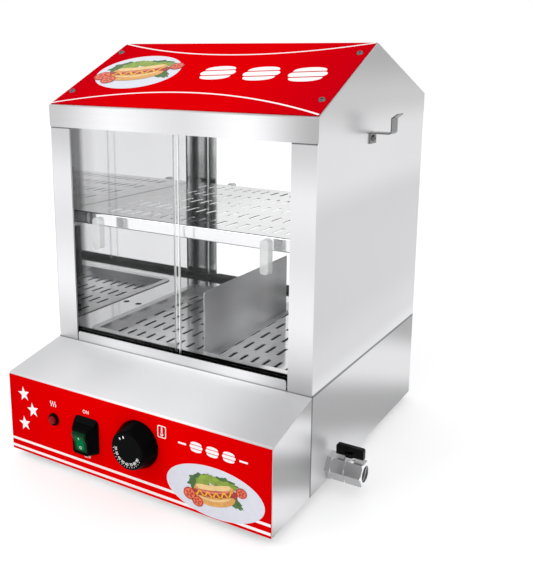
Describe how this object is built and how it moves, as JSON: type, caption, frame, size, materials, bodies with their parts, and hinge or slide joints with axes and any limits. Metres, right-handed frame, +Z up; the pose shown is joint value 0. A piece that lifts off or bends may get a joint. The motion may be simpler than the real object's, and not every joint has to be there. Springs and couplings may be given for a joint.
{
  "type": "hot dog steamer",
  "caption": "Countertop steam cabinet with glass sliding doors front and back, a perforated shelf and pan over a heated water tank, a control housing and a drain valve.",
  "frame": {"origin": "on the surface that the feet stand on, in the middle of the whole part seen from above, drain valve included", "axes": "+X to the right as seen from the front, +Y from the control panel to the back, +Z up"},
  "size_m": [0.403, 0.4466, 0.495],
  "materials": {
    "steel": "satin brushed stainless sheet",
    "inner_steel": "polished stainless sheet",
    "red_paint": "smooth gloss red with white print",
    "black_plastic": "moulded gloss black",
    "track_plastic": "extruded satin black",
    "green_lens": "translucent green",
    "red_lens": "translucent red",
    "clear_glass": "clear tempered, polished edges",
    "handle_plastic": "translucent white",
    "chromed": "bright chrome",
    "rubber": "matt black",
    "screw_steel": "bright zinc",
    "sheath_steel": "dulled heater sheath",
    "thermostat_plastic": "moulded pale",
    "copper": "bare copper",
    "terminal_plastic": "moulded white",
    "wire_cover": "silicone sleeve"
  },
  "bodies": {
    "root": {"base_back": "steel", "base_floor": "steel", "base_front": "steel", "base_left_side": "steel", "base_right_side": "steel", "canopy_band": "steel", "control_housing": "steel", "control_panel": "red_paint", "cord_gland": "black_plastic", "deck": "inner_steel", "door_guides": "track_plastic", "door_sills": "steel", "door_tracks": "track_plastic", "drain_locknut": "chromed", "drain_nipple": "chromed", "element_nuts": "screw_steel", "foot_screws": "screw_steel", "front_posts": "steel", "gland_nut": "black_plastic", "heating_element": "sheath_steel", "housing_cheeks": "steel", "indicator_bezel": "black_plastic", "indicator_lens": "red_lens", "left_side_panel": "steel", "packing_nut": "chromed", "pan_screws": "screw_steel", "rear_band": "steel", "rear_posts": "steel", "right_side_panel": "steel", "roof_front": "steel", "roof_rear": "steel", "rubber_feet": "rubber", "shelf_rails": "inner_steel", "sign_plate": "red_paint", "switch_housing": "black_plastic", "tank_bottom": "inner_steel", "tank_walls": "inner_steel", "terminal_block": "terminal_plastic", "thermostat_body": "thermostat_plastic", "thermostat_bulb": "copper", "tong_hook": "steel", "valve_body": "chromed", "wiring": "wire_cover"},
    "front_left_door": {"front_left_door": "clear_glass", "front_left_handle": "handle_plastic"},
    "front_right_door": {"front_right_door": "clear_glass", "front_right_handle": "handle_plastic"},
    "rear_left_door": {"rear_left_door": "clear_glass", "rear_left_handle": "handle_plastic"},
    "rear_right_door": {"rear_right_door": "clear_glass", "rear_right_handle": "handle_plastic"},
    "knob": {"control_knob": "black_plastic", "thermostat_spindle": "screw_steel"},
    "rocker": {"switch_rocker": "green_lens"},
    "valve_handle": {"valve_lever": "black_plastic", "valve_stem": "chromed", "valve_ball": "chromed"},
    "shelf": {"shelf": "inner_steel"},
    "tray": {"tray_pan": "inner_steel"},
    "divider": {"divider": "inner_steel"}
  },
  "joints": [
    {"name": "front_left_door_slide", "type": "slide", "parent": "root", "child": "front_left_door", "axis": [1, 0, 0], "range_m": [0, 0.104]},
    {"name": "front_right_door_slide", "type": "slide", "parent": "root", "child": "front_right_door", "axis": [1, 0, 0], "range_m": [-0.104, 0]},
    {"name": "rear_left_door_slide", "type": "slide", "parent": "root", "child": "rear_left_door", "axis": [1, 0, 0], "range_m": [0, 0.104]},
    {"name": "rear_right_door_slide", "type": "slide", "parent": "root", "child": "rear_right_door", "axis": [1, 0, 0], "range_m": [-0.104, 0]},
    {"name": "knob_turn", "type": "hinge", "parent": "root", "child": "knob", "pos_m": [-0.0065, -0.2125, 0.068], "axis": [0, 1, 0], "range_deg": [0, 270]},
    {"name": "rocker_tip", "type": "hinge", "parent": "root", "child": "rocker", "pos_m": [-0.0803, -0.21135, 0.05497], "axis": [-1, 0, 0], "range_deg": [0, 22]},
    {"name": "valve_turn", "type": "hinge", "parent": "root", "child": "valve_handle", "pos_m": [0.1835, -0.0675, 0.05], "axis": [0, 0, -1], "range_deg": [0, 90]},
    {"name": "shelf_lift", "type": "slide", "parent": "root", "child": "shelf", "axis": [0, 0, 1], "range_m": [0, 0.06]},
    {"name": "tray_lift", "type": "slide", "parent": "root", "child": "tray", "axis": [0, 0, 1], "range_m": [0, 0.03]},
    {"name": "divider_lift", "type": "slide", "parent": "tray", "child": "divider", "axis": [0, 0, 1], "range_m": [0, 0.03]}
  ]
}
